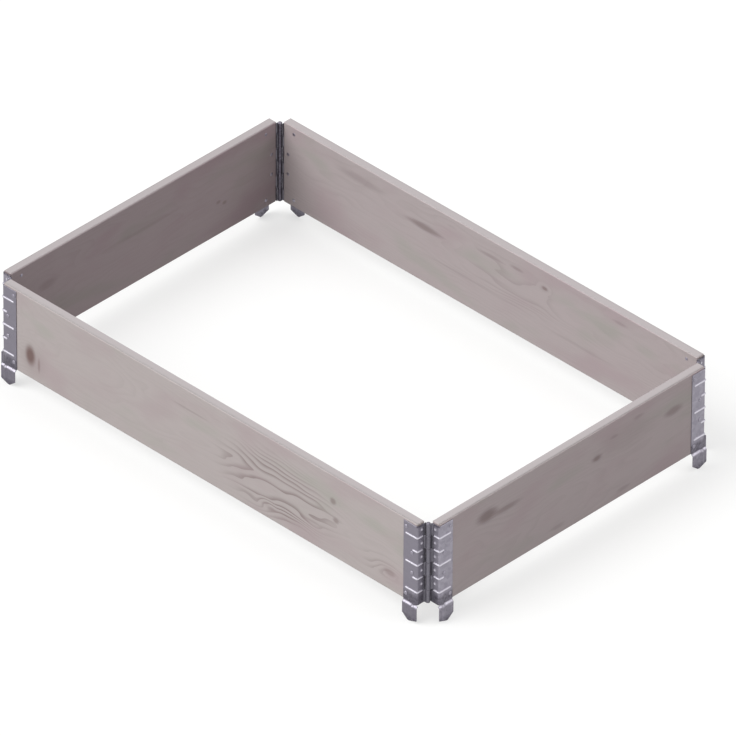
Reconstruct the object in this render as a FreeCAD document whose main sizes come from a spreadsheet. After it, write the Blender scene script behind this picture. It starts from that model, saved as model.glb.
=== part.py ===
import FreeCAD, Part
import math
import os
import Sketcher

# Wooden pallet collar: four boards joined at the corners by steel leaf hinges.
# Millimetres, +Z up. The origin is under the middle of the frame, level with
# the tips of the hinge legs, so z = 0 is what the collar stands on.
# Every board carries its pieces in a side frame: x along the board, the outer
# face towards -y, z = 0 at the board's lower edge, the pins at y = 0.

SIZES = (
    ("outside_length", 1200),
    ("outside_width", 800),
    ("board_height", 195),
    ("board_thickness", 20),
    ("edge_chamfer", 2),
    ("corner_notch", 30),
    ("sheet_thickness", 1.5),
    ("bend_radius", 1.5),
    ("leaf_reach", 66),
    ("leaf_top_margin", 5),
    ("leaf_foot_margin", 2),
    ("pin_diameter", 6),
    ("pin_standoff", 3),
    ("pin_fit", 0.08),
    ("pin_head_diameter", 8.6),
    ("pin_head_height", 1.8),
    ("pin_foot", 2),
    ("knuckle_gap", 0.6),
    ("curl_opening", 20),
    ("tongue_gap", 1),
    ("rib_pitch", 32.5),
    ("rib_width", 5.6),
    ("rib_height", 2),
    ("rib_wall_depth", 15),
    ("long_rib_reach", 61),
    ("short_rib_reach", 41),
    ("pip_diameter", 8.4),
    ("pip_height", 1),
    ("pip_slope", 45),
    ("pip_setback", 11),
    ("leg_drop", 40),
    ("leg_near_reach", 25),
    ("leg_far_reach", 63.5),
    ("joggle_offset", 4),
    ("joggle_drop", 6),
    ("tip_near_width", 19),
    ("tip_near_height", 7),
    ("tip_far_width", 15),
    ("tip_far_height", 12),
    ("leg_rib_reach", 38),
    ("leg_rib_width", 9),
    ("leg_rib_height", 2),
    ("leg_rib_top", 28),
    ("leg_rib_end", 6),
    ("shank_diameter", 5),
    ("shank_fit", 0.3),
    ("head_diameter", 9),
    ("head_height", 1.8),
    ("head_slope", 30),
    ("tail_diameter", 7.5),
    ("tail_height", 1),
    ("outer_rivet_reach", 59),
    ("outer_rivet_spread", 160),
    ("inner_rivet_reach", 43),
    ("inner_rivet_spread", 48),
)

# Lengths that several pieces share, as formulas of the sheet.
PIN_DEPTH = "(sizes.board_thickness + sizes.pin_standoff)"
FACE = f"(-{PIN_DEPTH})"
SKIN = f"({FACE} - sizes.sheet_thickness)"
BOARD_END = f"(sizes.corner_notch - {PIN_DEPTH})"
WALL = f"({BOARD_END} - sizes.sheet_thickness)"
BEND = "(sizes.bend_radius + sizes.sheet_thickness)"
LEAF_END = f"(sizes.leaf_reach - {PIN_DEPTH})"
BORE = "(sizes.pin_diameter / 2 + sizes.pin_fit)"
CURL = f"({BORE} + sizes.sheet_thickness)"
WALL_TOP = f"(-{CURL} - sizes.bend_radius)"
LEAF_TOP = "(sizes.board_height - sizes.leaf_top_margin)"
LEG_NEAR = f"(sizes.leg_near_reach - {PIN_DEPTH})"
LEG_FAR = f"(sizes.leg_far_reach - {PIN_DEPTH})"
RIVET_HOLE = "(sizes.shank_diameter + sizes.shank_fit)"
JOGGLE_MITRE = (
    "(sizes.sheet_thickness * tan(atan(sizes.joggle_offset / sizes.joggle_drop) / 2))"
)
PIN_SPAN = {
    "long": f"(sizes.outside_length / 2 - {PIN_DEPTH})",
    "short": f"(sizes.outside_width / 2 - {PIN_DEPTH})",
}

# Each side: its boards' length, how far it is turned about Z, and which
# knuckles of the barrel are its own.
SIDES = {
    "front": ("long", 0),
    "right": ("short", 90),
    "back": ("long", 180),
    "left": ("short", 270),
}
FIRST_KNUCKLE = {"long": 0, "short": 1}

# A right-angled bend drawn as one flat starts it this share of the radius
# beyond the tangent point.
BEND_FLAT = "tan(90 / 4)"

# Small repeated rounds are drawn with flats, which keeps the facets few.
HEAD_FLATS = 8
PIP_FLATS = 6
SHANK_FLATS = 6
CURL_FLATS = 12

doc = FreeCAD.newDocument("pallet_collar")
sizes = doc.addObject("Spreadsheet::Sheet", "sizes")
for row, (name, value) in enumerate(SIZES, start=1):
    sizes.set(f"A{row}", name)
    sizes.set(f"B{row}", str(value))
    sizes.setAlias(f"B{row}", name)
doc.recompute()

PARTS = []


def value_of(formula):
    """The number that a formula of the sheet gives now."""
    return float(sizes.evalExpression(formula.replace("sizes.", "")))


def new_body(label):
    """An empty body that will be written as one node."""
    body = doc.addObject("PartDesign::Body", label)
    body.Label = label
    PARTS.append(body)
    return body


def place_on_side(body, side, along="0"):
    """Turn a body to its side of the frame and set it on that side's pin line.

    along is the formula of its place along the side, from the middle.
    """
    length, turn = SIDES[side]
    across = PIN_SPAN["short" if length == "long" else "long"]
    body.Placement = FreeCAD.Placement(
        FreeCAD.Vector(), FreeCAD.Rotation(FreeCAD.Vector(0, 0, 1), turn)
    )
    cosine = round(math.cos(math.radians(turn)))
    sine = round(math.sin(math.radians(turn)))
    body.setExpression("Placement.Base.x", f"{cosine} * ({along}) + {sine} * {across}")
    body.setExpression("Placement.Base.y", f"{sine} * ({along}) - {cosine} * {across}")
    body.setExpression("Placement.Base.z", "sizes.leg_drop")


def new_sketch(body, name, plane, offset="0"):
    """A sketch on one of the body's own planes, moved along its normal."""
    sketch = body.newObject("Sketcher::SketchObject", name)
    origin = {item.Role: item for item in body.Origin.OriginFeatures}
    sketch.AttachmentSupport = (origin[plane], [""])
    sketch.MapMode = "FlatFace"
    sketch.setExpression("AttachmentOffset.Base.z", offset)
    return sketch


def fix_point(sketch, item, end, x, y):
    """Hold one point of a sketch at the place its two formulas give."""
    for kind, formula in (("DistanceX", x), ("DistanceY", y)):
        fixed = Sketcher.Constraint(kind, -1, 1, item, end, value_of(formula))
        index = sketch.addConstraint(fixed)
        sketch.setExpression(f"Constraints[{index}]", formula)


def add_edge(sketch, start, finish):
    """Draw the edge that reaches finish, and say which of its ends is which.

    A point is (x, y); an arc is (x, y, centre x, centre y, radius, turn), where
    turn is 1 for an arc drawn anticlockwise and -1 for a clockwise one.
    """
    a = FreeCAD.Vector(value_of(start[0]), value_of(start[1]), 0)
    b = FreeCAD.Vector(value_of(finish[0]), value_of(finish[1]), 0)
    if len(finish) == 2:
        return sketch.addGeometry(Part.LineSegment(a, b), False), 1, 2
    centre = FreeCAD.Vector(value_of(finish[2]), value_of(finish[3]), 0)
    turn = finish[5]
    first, last = (a, b) if turn > 0 else (b, a)
    begin = math.atan2(first.y - centre.y, first.x - centre.x)
    stop = math.atan2(last.y - centre.y, last.x - centre.x)
    if stop < begin:
        stop += 2 * math.pi
    circle = Part.Circle(centre, FreeCAD.Vector(0, 0, 1), value_of(finish[4]))
    item = sketch.addGeometry(Part.ArcOfCircle(circle, begin, stop), False)
    index = sketch.addConstraint(
        Sketcher.Constraint("Radius", item, value_of(finish[4]))
    )
    sketch.setExpression(f"Constraints[{index}]", finish[4])
    return (item, 1, 2) if turn > 0 else (item, 2, 1)


def outline(sketch, points, closed=True):
    """Draw a profile through its points, every one of them held by formulas."""
    edges = []
    starts = points if closed else points[:-1]
    for number, start in enumerate(starts):
        finish = points[(number + 1) % len(points)]
        item, tail, head = add_edge(sketch, start, finish)
        fix_point(sketch, item, tail, start[0], start[1])
        if edges:
            last, last_head = edges[-1]
            sketch.addConstraint(
                Sketcher.Constraint("Coincident", last, last_head, item, tail)
            )
        else:
            first_tail = tail
        edges.append((item, head))
    last, last_head = edges[-1]
    if closed:
        sketch.addConstraint(
            Sketcher.Constraint("Coincident", last, last_head, edges[0][0], first_tail)
        )
    else:
        fix_point(sketch, last, last_head, points[-1][0], points[-1][1])


def rounds(sketch, centres, diameter, sides):
    """Draw a round of so many flats at each centre, its corners on the diameter."""
    for x, y in centres:
        corners = []
        for number in range(sides):
            angle = (number + 0.5) * 360 / sides
            across = f"{x} + ({diameter}) / 2 * cos({angle})"
            corners.append((across, f"{y} + ({diameter}) / 2 * sin({angle})"))
        outline(sketch, corners)


def pad(body, sketch, length, reverse=False, both_ways=False):
    """Raise a sketch into a solid."""
    feature = body.newObject("PartDesign::Pad", sketch.Name + "_pad")
    feature.Profile = sketch
    feature.Reversed = reverse
    feature.Refine = False
    feature.SideType = "Symmetric" if both_ways else "One side"
    feature.setExpression("Length", length)
    return feature


def cut_through(body, sketch):
    """Cut a sketch right through the body, both ways."""
    feature = body.newObject("PartDesign::Pocket", sketch.Name + "_cut")
    feature.Profile = sketch
    feature.SideType = "Symmetric"
    feature.Type = "ThroughAll"
    return feature


def mirrored(hand, points):
    """The same points on the left (hand 1) or the right (hand -1) of a side."""
    turned = []
    for point in points:
        if len(point) == 2:
            turned.append((f"{hand} * ({point[0]})", point[1]))
            continue
        x, y, centre_x, centre_y, radius, turn = point
        centre_x = f"{hand} * ({centre_x})"
        turned.append((f"{hand} * ({x})", y, centre_x, centre_y, radius, hand * turn))
    return turned


def rivet_places(hand):
    """Where the four rivets of a leaf go, seen from its pin, as (x, z)."""
    middle = "sizes.board_height / 2"
    places = []
    for row in ("outer", "inner"):
        x = f"sizes.{row}_rivet_reach - {PIN_DEPTH}"
        for sign in ("+", "-"):
            places.append((x, f"{middle} {sign} sizes.{row}_rivet_spread / 2"))
    return mirrored(hand, places)


def knuckle_count():
    """How many knuckles fit one above the other on a board."""
    return round(value_of("sizes.board_height / sizes.rib_pitch"))


def make_board(side):
    """A planed board with eased edges and a hole for every rivet."""
    length, _ = SIDES[side]
    body = new_body(f"{side}_board")
    end = f"({PIN_SPAN[length]} - {BOARD_END})"
    inside = "(-sizes.pin_standoff)"
    sketch = new_sketch(body, f"{side}_board_plan", "XY_Plane")
    corners = [(f"-{end}", FACE), (end, FACE), (end, inside), (f"-{end}", inside)]
    outline(sketch, corners)
    plank = pad(body, sketch, "sizes.board_height")
    doc.recompute([plank])
    eased = body.newObject("PartDesign::Chamfer", f"{side}_board_easing")
    names = [f"Edge{number + 1}" for number in range(len(plank.Shape.Edges))]
    eased.Base = (plank, names)
    eased.setExpression("Size", "sizes.edge_chamfer")
    holes = new_sketch(body, f"{side}_board_holes", "XZ_Plane")
    centres = []
    for hand in (1, -1):
        for x, z in rivet_places(hand):
            centres.append((f"{x} - {hand} * {PIN_SPAN[length]}", z))
    rounds(holes, centres, RIVET_HOLE, SHANK_FLATS)
    body.Tip = cut_through(body, holes)
    place_on_side(body, side)
    return body


def leaf_plate(body, name, hand):
    """The bent plate: flat on the board, round its edge and across its end."""
    points = [
        (LEAF_END, SKIN),
        (f"{WALL} + {BEND}", SKIN),
        (WALL, f"{SKIN} + {BEND}", f"{WALL} + {BEND}", f"{SKIN} + {BEND}", BEND, -1),
        (WALL, WALL_TOP),
        (BOARD_END, WALL_TOP),
        (BOARD_END, f"{FACE} + sizes.bend_radius"),
        (
            f"{BOARD_END} + sizes.bend_radius",
            FACE,
            f"{BOARD_END} + sizes.bend_radius",
            f"{FACE} + sizes.bend_radius",
            "sizes.bend_radius",
            1,
        ),
        (LEAF_END, FACE),
    ]
    sketch = new_sketch(body, f"{name}_section", "XY_Plane", "sizes.leaf_foot_margin")
    outline(sketch, mirrored(hand, points))
    return pad(body, sketch, f"{LEAF_TOP} - sizes.leaf_foot_margin")


def slot_heights(slot):
    """The lower and upper end of what a leaf has in one slot of the barrel."""
    half_gap = "sizes.knuckle_gap / 2"
    low = f"max({slot} * sizes.rib_pitch + {half_gap}; sizes.leaf_foot_margin)"
    high = f"min({slot + 1} * sizes.rib_pitch - {half_gap}; {LEAF_TOP})"
    return low, high


def leaf_tongue(body, name, hand, slot):
    """Beside the other leaf's knuckle the end wall runs on, almost to the pin's line."""
    free_edge = "(-sizes.tongue_gap)"
    points = [
        (WALL, WALL_TOP),
        (WALL, free_edge),
        (BOARD_END, free_edge),
        (BOARD_END, WALL_TOP),
    ]
    low, high = slot_heights(slot)
    sketch = new_sketch(body, f"{name}_tongue_{slot}", "XY_Plane", low)
    outline(sketch, mirrored(hand, points))
    return pad(body, sketch, f"{high} - {low}")


def leaf_pip(body, name, hand, number):
    """A pressed pip on the end wall, halfway between two ribs."""
    centre = (f"{FACE} + sizes.pip_setback", f"{number + 0.5} * sizes.rib_pitch")
    sketch = new_sketch(body, f"{name}_pip_{number}", "YZ_Plane", f"{hand} * {WALL}")
    rounds(sketch, [centre], "sizes.pip_diameter", PIP_FLATS)
    pip = pad(body, sketch, "sizes.pip_height", reverse=hand > 0)
    pip.setExpression("TaperAngle", "-sizes.pip_slope")
    return pip


def leaf_knuckle(body, name, hand, slot):
    """One knuckle: the plate turns inwards off the end wall and curls round the pin.

    The curl runs clockwise from under the pin, in equal flats that touch the
    bore, and stops short of its own strap by the curl's opening.
    """
    strap = f"({WALL} - sizes.bend_radius)"
    sweep = "(270 + sizes.curl_opening)"
    bore_corner = f"({BORE} / cos({sweep} / {2 * CURL_FLATS}))"
    outside = []
    inside = []
    for number in range(CURL_FLATS + 1):
        angle = f"(270 - {number} * {sweep} / {CURL_FLATS})"
        outside.append((f"{CURL} * cos{angle}", f"{CURL} * sin{angle}"))
        inside.append((f"{bore_corner} * cos{angle}", f"{bore_corner} * sin{angle}"))
    points = [
        (WALL, WALL_TOP),
        (strap, f"-{CURL}"),
        *outside,
        *reversed(inside),
        (f"{strap} + {BEND} * {BEND_FLAT}", f"-{BORE}"),
        (BOARD_END, f"{WALL_TOP} + {BEND} * {BEND_FLAT}"),
        (BOARD_END, WALL_TOP),
    ]
    low, high = slot_heights(slot)
    sketch = new_sketch(body, f"{name}_knuckle_{slot}", "XY_Plane", low)
    outline(sketch, mirrored(hand, points))
    return pad(body, sketch, f"{high} - {low}")


def leaf_rib(body, name, hand, number):
    """A pressed rib that runs along the flat, round the bend and across the end wall."""
    reach = "sizes.long_rib_reach" if number % 2 else "sizes.short_rib_reach"
    height = f"{number} * sizes.rib_pitch"
    corner = f"{BEND} * (1 - {BEND_FLAT})"
    path_points = [
        (f"{reach} - {PIN_DEPTH}", SKIN),
        (f"{WALL} + {corner}", SKIN),
        (WALL, f"{SKIN} + {corner}"),
        (WALL, f"{SKIN} + sizes.rib_wall_depth"),
    ]
    path = new_sketch(body, f"{name}_rib_path_{number}", "XY_Plane", height)
    outline(path, mirrored(hand, path_points), closed=False)
    half = "sizes.rib_width / 2"
    buried = f"{SKIN} + sizes.sheet_thickness / 2"
    crest = f"{SKIN} - sizes.rib_height"
    flank = f"({half} - sizes.rib_height)"
    section = [
        (buried, f"{height} - {half}"),
        (SKIN, f"{height} - {half}"),
        (crest, f"{height} - {flank}"),
        (crest, f"{height} + {flank}"),
        (SKIN, f"{height} + {half}"),
        (buried, f"{height} + {half}"),
    ]
    start = f"{hand} * ({reach} - {PIN_DEPTH})"
    profile = new_sketch(body, f"{name}_rib_section_{number}", "YZ_Plane", start)
    outline(profile, section)
    for sketch in (path, profile):
        sketch.recompute()
    rib = body.newObject("PartDesign::AdditivePipe", f"{name}_rib_{number}")
    rib.Profile = profile
    rib.Spine = (path, [f"Edge{edge + 1}" for edge in range(len(path.Shape.Edges))])
    rib.Transition = "Right corner"
    rib.Refine = False
    return rib


def leaf_leg(body, name, hand):
    """The leg: the plate joggles outwards below the board and drops past the pallet."""
    middle = f"{hand} * ({LEG_NEAR} + {LEG_FAR}) / 2"
    width = f"{LEG_FAR} - {LEG_NEAR}"
    foot = "sizes.leaf_foot_margin"
    knee = f"({foot} - sizes.joggle_drop)"
    section = [
        (FACE, foot),
        (f"{FACE} - sizes.joggle_offset", knee),
        (f"{FACE} - sizes.joggle_offset", "-sizes.leg_drop"),
        (f"{SKIN} - sizes.joggle_offset", "-sizes.leg_drop"),
        (f"{SKIN} - sizes.joggle_offset", f"{knee} + {JOGGLE_MITRE}"),
        (SKIN, f"{foot} + {JOGGLE_MITRE}"),
    ]
    side_view = new_sketch(body, f"{name}_leg_section", "YZ_Plane", middle)
    outline(side_view, section)
    pad(body, side_view, width, both_ways=True)
    crest = f"({SKIN} - sizes.leg_rib_height)"
    rib = [
        (f"{FACE} - sizes.sheet_thickness / 2", "sizes.leg_rib_top"),
        (SKIN, "sizes.leg_rib_top"),
        (crest, "sizes.leg_rib_top - 2 * sizes.leg_rib_height"),
        (crest, f"{foot} + {JOGGLE_MITRE}"),
        (f"{crest} - sizes.joggle_offset", f"{knee} + {JOGGLE_MITRE}"),
        (
            f"{crest} - sizes.joggle_offset",
            "sizes.leg_rib_end + 2 * sizes.leg_rib_height - sizes.leg_drop",
        ),
        (f"{SKIN} - sizes.joggle_offset", "sizes.leg_rib_end - sizes.leg_drop"),
        (
            f"{SKIN} + sizes.sheet_thickness / 2 - sizes.joggle_offset",
            "sizes.leg_rib_end - sizes.leg_drop",
        ),
        (f"{SKIN} + sizes.sheet_thickness / 2 - sizes.joggle_offset", knee),
        (f"{SKIN} + sizes.sheet_thickness / 2", foot),
    ]
    rib_place = f"{hand} * (sizes.leg_rib_reach - {PIN_DEPTH})"
    ridge = new_sketch(body, f"{name}_leg_rib", "YZ_Plane", rib_place)
    outline(ridge, rib)
    pad(body, ridge, "sizes.leg_rib_width", both_ways=True)
    trim = new_sketch(body, f"{name}_leg_tip", "XZ_Plane")
    over = "sizes.sheet_thickness"
    for edge, inward, end in ((LEG_NEAR, 1, "near"), (LEG_FAR, -1, "far")):
        point = f"{edge} + {inward} * sizes.tip_{end}_width"
        top = f"sizes.tip_{end}_height - sizes.leg_drop"
        corner = [
            (edge, top),
            (point, "-sizes.leg_drop"),
            (point, f"-sizes.leg_drop - {over}"),
            (f"{edge} - {inward} * {over}", f"-sizes.leg_drop - {over}"),
            (f"{edge} - {inward} * {over}", top),
        ]
        outline(trim, mirrored(hand, corner))
    return cut_through(body, trim)


def make_leaf(side, end, hand):
    """One stamped hinge leaf, hand 1 at the left end of its side and -1 at the right."""
    length, _ = SIDES[side]
    name = f"{side}_{end}_leaf"
    body = new_body(name)
    leaf_plate(body, name, hand)
    for slot in range(knuckle_count()):
        make = leaf_knuckle if slot % 2 == FIRST_KNUCKLE[length] else leaf_tongue
        make(body, name, hand, slot)
    for number in range(1, knuckle_count()):
        leaf_rib(body, name, hand, number)
        leaf_pip(body, name, hand, number)
    leaf_leg(body, name, hand)
    holes = new_sketch(body, f"{name}_holes", "XZ_Plane")
    rounds(holes, rivet_places(hand), RIVET_HOLE, SHANK_FLATS)
    body.Tip = cut_through(body, holes)
    place_on_side(body, side, f"{-hand} * {PIN_SPAN[length]}")
    return body


def make_rivets(side, end, hand):
    """The four rivets that clamp a leaf to its board: head outside, tail inside."""
    length, _ = SIDES[side]
    name = f"{side}_{end}_rivets"
    body = new_body(name)
    centres = rivet_places(hand)
    outer = f"-{SKIN}"
    shank = new_sketch(body, f"{name}_shank", "XZ_Plane", outer)
    rounds(shank, centres, "sizes.shank_diameter", SHANK_FLATS)
    grip = "sizes.sheet_thickness + sizes.board_thickness"
    pad(body, shank, grip, reverse=True)
    head = new_sketch(body, f"{name}_head", "XZ_Plane", outer)
    rounds(head, centres, "sizes.head_diameter", HEAD_FLATS)
    dome = pad(body, head, "sizes.head_height")
    dome.setExpression("TaperAngle", "-sizes.head_slope")
    tail = new_sketch(body, f"{name}_tail", "XZ_Plane", "sizes.pin_standoff")
    rounds(tail, centres, "sizes.tail_diameter", HEAD_FLATS)
    body.Tip = pad(body, tail, "sizes.tail_height", reverse=True)
    place_on_side(body, side, f"{-hand} * {PIN_SPAN[length]}")
    return body


def make_pin(side, end, hand):
    """The hinge pin: a rod dropped through every knuckle, with a head on its top end."""
    length, _ = SIDES[side]
    name = f"{side}_{end}_pin"
    body = new_body(name)
    radius = "sizes.pin_diameter / 2"
    head = "sizes.pin_head_diameter / 2"
    low = "(sizes.leaf_foot_margin - sizes.pin_foot)"
    high = f"({LEAF_TOP} + sizes.knuckle_gap / 2)"
    half_section = [
        ("0", low),
        (radius, low),
        (radius, high),
        (head, high),
        (head, f"{high} + sizes.pin_head_height"),
        ("0", f"{high} + sizes.pin_head_height"),
    ]
    sketch = new_sketch(body, f"{name}_half_section", "XZ_Plane")
    outline(sketch, half_section)
    rod = body.newObject("PartDesign::Revolution", f"{name}_rod")
    rod.Profile = sketch
    rod.ReferenceAxis = (sketch, ["V_Axis"])
    body.Tip = rod
    place_on_side(body, side, f"{-hand} * {PIN_SPAN[length]}")
    return body


for side in SIDES:
    make_board(side)

order = list(SIDES)
for number, side in enumerate(order):
    left_neighbour = order[number - 1]
    right_neighbour = order[(number + 1) % len(order)]
    for end, hand in ((left_neighbour, 1), (right_neighbour, -1)):
        make_leaf(side, end, hand)
        make_rivets(side, end, hand)
        if SIDES[side][0] == "long":
            make_pin(side, end, hand)

doc.recompute()

for item in doc.Objects:
    if "Invalid" in item.State or "Error" in item.State:
        raise RuntimeError(f"{item.Label} was not built: {item.State}")
for body in PARTS:
    if body.Shape.isNull() or not body.Shape.isValid():
        raise RuntimeError(f"{body.Label} has no sound shape")

os.makedirs("parts", exist_ok=True)
for body in PARTS:
    body.Shape.exportStep(os.path.join("parts", f"{body.Label}.step"))
    print(body.Label, len(body.Shape.Solids), round(body.Shape.Volume))
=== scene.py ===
# %% [markdown]
# # A wooden pallet collar, dressed in Blender
#
# A pallet collar is four low boards, hinged at the corners, that stand on a
# pallet and hold its load in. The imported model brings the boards, hinge
# leaves, pins and rivets at their real size and place. This lesson gives them
# their surfaces: weathered, grey-washed pine and pressed galvanised sheet.

# %% Load the frame
import math

import bpy
import numpy as np
from mathutils import Matrix, Vector


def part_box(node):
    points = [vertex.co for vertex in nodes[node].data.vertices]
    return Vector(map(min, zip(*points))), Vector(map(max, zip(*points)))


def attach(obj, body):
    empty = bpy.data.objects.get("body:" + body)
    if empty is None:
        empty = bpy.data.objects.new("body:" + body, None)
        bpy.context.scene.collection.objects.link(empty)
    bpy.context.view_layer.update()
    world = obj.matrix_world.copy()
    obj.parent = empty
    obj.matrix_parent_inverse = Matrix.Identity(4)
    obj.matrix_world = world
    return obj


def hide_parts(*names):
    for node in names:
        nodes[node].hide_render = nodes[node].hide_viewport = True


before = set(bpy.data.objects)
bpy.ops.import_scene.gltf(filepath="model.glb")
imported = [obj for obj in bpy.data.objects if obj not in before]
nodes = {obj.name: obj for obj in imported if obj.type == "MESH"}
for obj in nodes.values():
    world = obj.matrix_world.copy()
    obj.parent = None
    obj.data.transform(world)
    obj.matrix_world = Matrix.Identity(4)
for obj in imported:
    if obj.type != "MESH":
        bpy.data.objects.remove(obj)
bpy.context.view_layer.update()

# %% [markdown]
# ## The camera
#
# The picture is taken from far away with a very long lens, so that parallel
# edges stay almost parallel. A camera could be turned by eye until the frame
# looks right. Here its direction, distance and lens come from a fit to the edges
# of the boards, whose real lengths are known, so nothing is left to the eye.

# %% Camera
SENSOR = 0.036
FRAME_PIXELS = 736
FOCAL_PIXELS = 18147.8
AZIMUTH = math.radians(44.437)
ELEVATION = math.radians(35.722)
ROLL = math.radians(0.312)
DISTANCE = 35.61
AIM = Vector((0, 0, 0.140))
AIM_LEFT_PIXELS = 15.118
AIM_UP_PIXELS = 10.718


def make_camera():
    """Set the camera up from its direction, distance, roll and aim."""
    back = Vector((
        math.sin(AZIMUTH) * math.cos(ELEVATION),
        -math.cos(AZIMUTH) * math.cos(ELEVATION),
        math.sin(ELEVATION),
    ))
    right = Vector((math.cos(AZIMUTH), math.sin(AZIMUTH), 0))
    up = back.cross(right)
    rolled_right = right * math.cos(ROLL) + up * math.sin(ROLL)
    rolled_up = up * math.cos(ROLL) - right * math.sin(ROLL)
    metres_per_pixel = DISTANCE / FOCAL_PIXELS
    centre = AIM + rolled_right * AIM_LEFT_PIXELS * metres_per_pixel
    centre -= rolled_up * AIM_UP_PIXELS * metres_per_pixel
    data = bpy.data.cameras.new("camera")
    data.sensor_width = SENSOR * 1000
    data.lens = FOCAL_PIXELS / FRAME_PIXELS * SENSOR * 1000
    data.clip_start = 1
    data.clip_end = 200
    camera = bpy.data.objects.new("camera", data)
    axes = Matrix((rolled_right, rolled_up, back)).transposed().to_4x4()
    camera.matrix_world = Matrix.Translation(centre + back * DISTANCE) @ axes
    bpy.context.scene.collection.objects.link(camera)
    bpy.context.scene.camera = camera
    return camera


camera = make_camera()
print("camera at", tuple(round(c, 2) for c in camera.location), "lens", round(camera.data.lens))

# %% [markdown]
# ## Colours and nodes
#
# Colours are written as the sRGB hex values a person would pick, and one
# function turns them linear. Materials could be wired by hand in the shader
# editor. Written out, they can be read and repeated, so one more function adds a
# shader node, sets its sockets or links them, and hands back the node.

# %% Helpers for colours and nodes


def rgb(hex_colour):
    """A linear RGBA colour from sRGB hex, by the sRGB curve."""
    parts = [int(hex_colour[i:i + 2], 16) / 255 for i in (1, 3, 5)]
    linear = [c / 12.92 if c <= 0.04045 else ((c + 0.055) / 1.055) ** 2.4 for c in parts]
    return (*linear, 1.0)


def add(tree, kind, inputs=None, **settings):
    """Add a node, with its settings and with each named or numbered input set or linked."""
    new = tree.nodes.new(kind)
    for name, value in settings.items():
        setattr(new, name, value)
    for name, value in (inputs or {}).items():
        socket = new.inputs[name]
        if isinstance(value, bpy.types.NodeSocket):
            tree.links.new(value, socket)
        else:
            socket.default_value = value
    return new


def maths(tree, operation, a, b=0.0, clamp=False):
    """The result of one operation on two numbers or sockets."""
    new = add(tree, "ShaderNodeMath", {0: a, 1: b}, operation=operation, use_clamp=clamp)
    return new.outputs[0]


def new_material(name):
    """An empty node material with its surface shader joined to the output."""
    material = bpy.data.materials.new(name)
    material.use_nodes = True
    tree = material.node_tree
    tree.nodes.clear()
    shader = add(tree, "ShaderNodeBsdfPrincipled")
    add(tree, "ShaderNodeOutputMaterial", {"Surface": shader.outputs[0]})
    return material, tree, shader


print("mid grey in linear light:", round(rgb("#808080")[0], 3))

# %% [markdown]
# ## Floor and light
#
# A white studio: one broad soft lamp from the front left, a weak one behind on
# the right for a glint in the steel, a soft one overhead, and a faint even light
# from all round. More light would turn the floor white too, but it would bleach
# the wood. So the floor is a mid grey that takes the shadow. It and the world
# are white only to the camera and in reflections, and that lights no wood.

# %% Floor and light
FLOOR_SIZE = 60.0
FLOOR_COLOUR = "#9C9C9B"
FLOOR_GLOW = 0.58
SKY_STRENGTH = 0.42
LAMPS = (
    ("softbox", Vector((-0.36, -0.60, 0.72)), 2.4, 50),
    ("overhead", Vector((0.05, 0.02, 1.0)), 1.3, 70),
    ("rim", Vector((0.62, 0.50, 0.60)), 0.42, 24),
)


def seen_directly(tree):
    """1 for camera, glossy and transmission rays, and 0 for those that carry light."""
    path = add(tree, "ShaderNodeLightPath")
    seen = maths(tree, "MAXIMUM", path.outputs["Is Camera Ray"], path.outputs["Is Glossy Ray"])
    return maths(tree, "MAXIMUM", seen, path.outputs["Is Transmission Ray"])


def make_floor():
    """A wide matt grey floor, level with what the collar stands on, glowing up to white."""
    half = FLOOR_SIZE / 2
    mesh = bpy.data.meshes.new("floor")
    mesh.from_pydata([(-half, -half, 0), (half, -half, 0), (half, half, 0), (-half, half, 0)],
                     [], [(0, 1, 2, 3)])
    floor = bpy.data.objects.new("floor", mesh)
    bpy.context.scene.collection.objects.link(floor)
    material = bpy.data.materials.new("matt_grey_floor_paint")
    material.use_nodes = True
    tree = material.node_tree
    tree.nodes.clear()
    matt = add(tree, "ShaderNodeBsdfDiffuse", {"Color": rgb(FLOOR_COLOUR)})
    strength = maths(tree, "MULTIPLY", seen_directly(tree), FLOOR_GLOW)
    glow = add(tree, "ShaderNodeEmission", {"Color": (1, 1, 1, 1), "Strength": strength})
    both = add(tree, "ShaderNodeAddShader", {0: matt.outputs[0], 1: glow.outputs[0]})
    add(tree, "ShaderNodeOutputMaterial", {"Surface": both.outputs[0]})
    mesh.materials.append(material)
    return floor


def make_lights():
    """The lamps, and a world that is white where it is seen and faint where it lights."""
    for name, direction, strength, softness in LAMPS:
        data = bpy.data.lights.new(name, "SUN")
        data.energy = strength
        data.angle = math.radians(softness)
        lamp = bpy.data.objects.new(name, data)
        lamp.rotation_euler = direction.to_track_quat("Z", "Y").to_euler()
        bpy.context.scene.collection.objects.link(lamp)
    world = bpy.data.worlds.new("studio")
    bpy.context.scene.world = world
    world.use_nodes = True
    tree = world.node_tree
    tree.nodes.clear()
    strength = add(tree, "ShaderNodeMapRange",
                   {"Value": seen_directly(tree), "To Min": SKY_STRENGTH, "To Max": 1.0})
    sky = add(tree, "ShaderNodeBackground",
              {"Color": (1, 1, 1, 1), "Strength": strength.outputs[0]})
    add(tree, "ShaderNodeOutputWorld", {"Surface": sky.outputs[0]})


make_floor()
make_lights()
bpy.context.scene.view_settings.view_transform = "Standard"
print("lamps:", [name for name, *_ in LAMPS])

# %% [markdown]
# ## Weathered pine
#
# The boards are planed pine gone grey-mauve, with the figure showing only
# faintly. Wood figure is a solid pattern: year rings are shells round the pith,
# and a face shows wherever it cuts them. So the colour comes from the distance
# to a pith line that runs along the board, a little askew, bent by slow noise
# and pushed aside by each knot. A face that grazes the shells shows long
# flames, and the ends show arcs, with no picture needed.

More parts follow.
